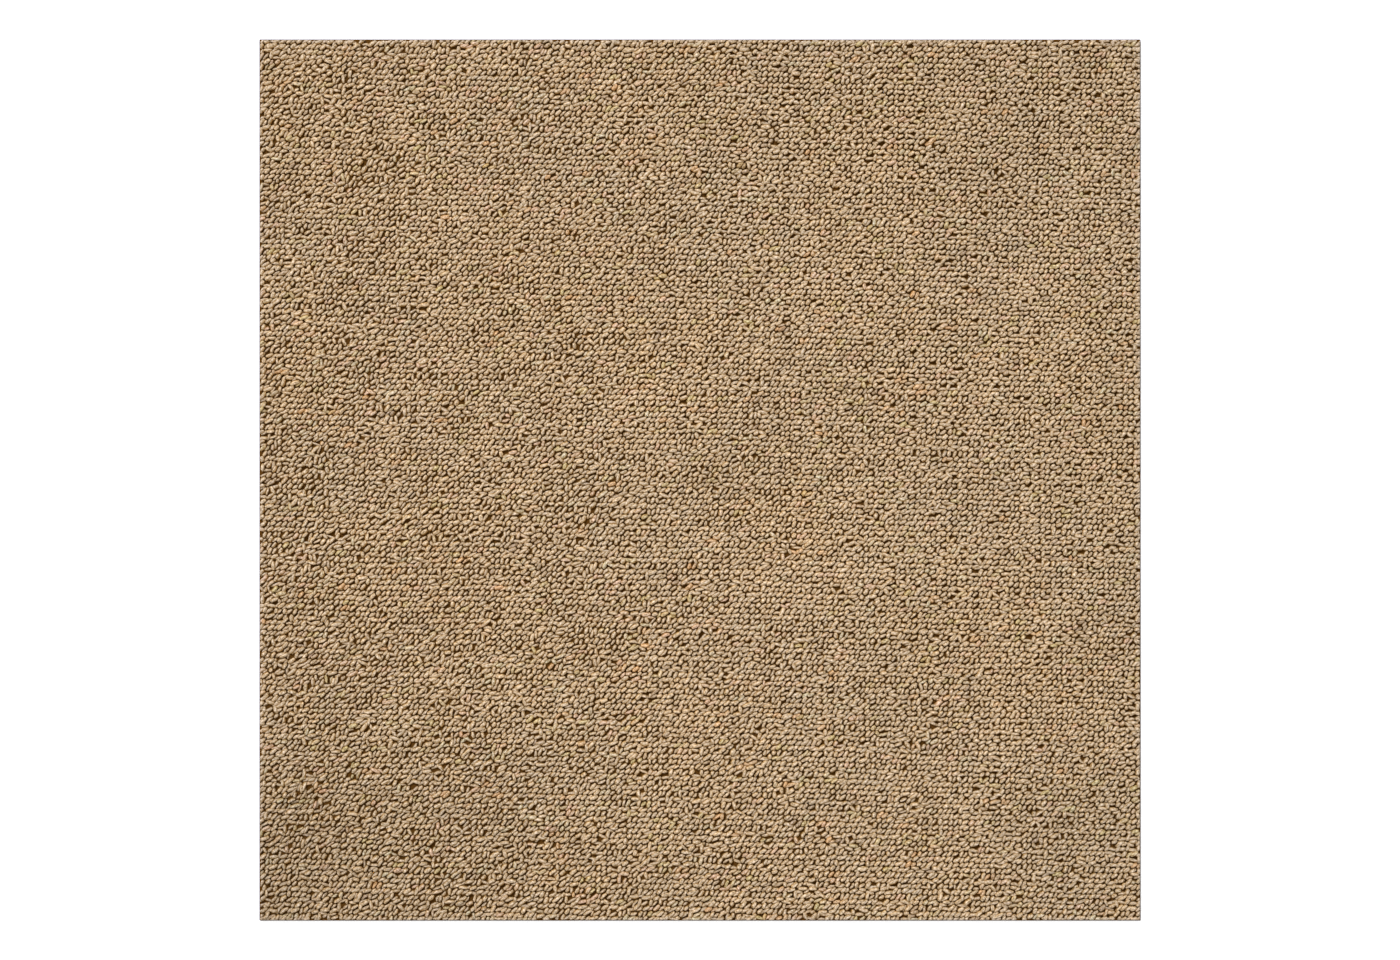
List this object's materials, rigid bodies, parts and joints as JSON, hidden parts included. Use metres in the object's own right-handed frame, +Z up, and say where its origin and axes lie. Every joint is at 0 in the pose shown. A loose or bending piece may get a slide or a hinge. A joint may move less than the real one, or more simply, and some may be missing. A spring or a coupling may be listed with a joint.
{
  "type": "carpet tile",
  "caption": "Square modular carpet tile: a heather beige loop pile in fine tuft rows, tufted through a thin backing cloth and bonded to a heavy dark backing slab.",
  "frame": {"origin": "centre of the tile's underside, on the floor", "axes": "+Z up out of the pile, +X along one edge and within a degree and a half of the tuft rows, +Y along the next edge, which is up in the picture"},
  "size_m": [0.5, 0.5, 0.0065],
  "materials": {
    "pile_yarn": "soft matt heather loop pile yarn, beige with darker gaps and a few coloured flecks",
    "backing_cloth": "matt woven cloth",
    "backing_compound": "matt dark filled compound with a fine embossed underside"
  },
  "bodies": {
    "root": {"loop_pile": "pile_yarn", "primary_backing": "backing_cloth", "backing_slab": "backing_compound"}
  },
  "joints": []
}
